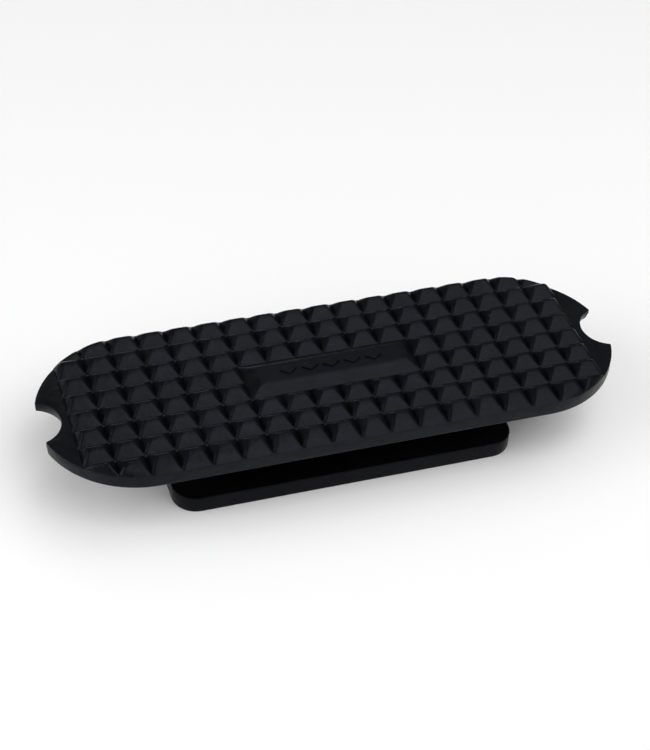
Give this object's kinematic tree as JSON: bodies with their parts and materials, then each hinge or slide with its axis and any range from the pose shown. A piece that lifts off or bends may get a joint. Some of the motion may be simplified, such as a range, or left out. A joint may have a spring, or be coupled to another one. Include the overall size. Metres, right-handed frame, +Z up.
{
  "type": "stirrup pad",
  "caption": "Black rubber stirrup pad: studded tread with notched ends and a smooth centre bar, on a neck and retaining flange that seat in a stirrup iron's footplate slot.",
  "frame": {"origin": "centre of the flange's underside, on which the pad stands", "axes": "+X along the tread, +Y towards the tread's back edge, +Z up out of the studs"},
  "size_m": [0.119, 0.04, 0.019],
  "materials": {
    "tread_rubber": "matte moulded",
    "stud_rubber": "matte moulded",
    "label_rubber": "satin moulded",
    "flange_rubber": "matte moulded"
  },
  "bodies": {
    "root": {"retaining_flange": "flange_rubber", "neck": "flange_rubber", "tread_slab": "tread_rubber", "left_end_lip": "tread_rubber", "right_end_lip": "tread_rubber", "stud_row_1": "stud_rubber", "stud_row_2": "stud_rubber", "stud_row_3": "stud_rubber", "stud_row_4": "stud_rubber", "stud_row_5": "stud_rubber", "stud_row_6": "stud_rubber", "stud_row_7": "stud_rubber", "stud_row_8": "stud_rubber", "label_bar": "label_rubber", "label_lozenges": "label_rubber"}
  },
  "joints": []
}
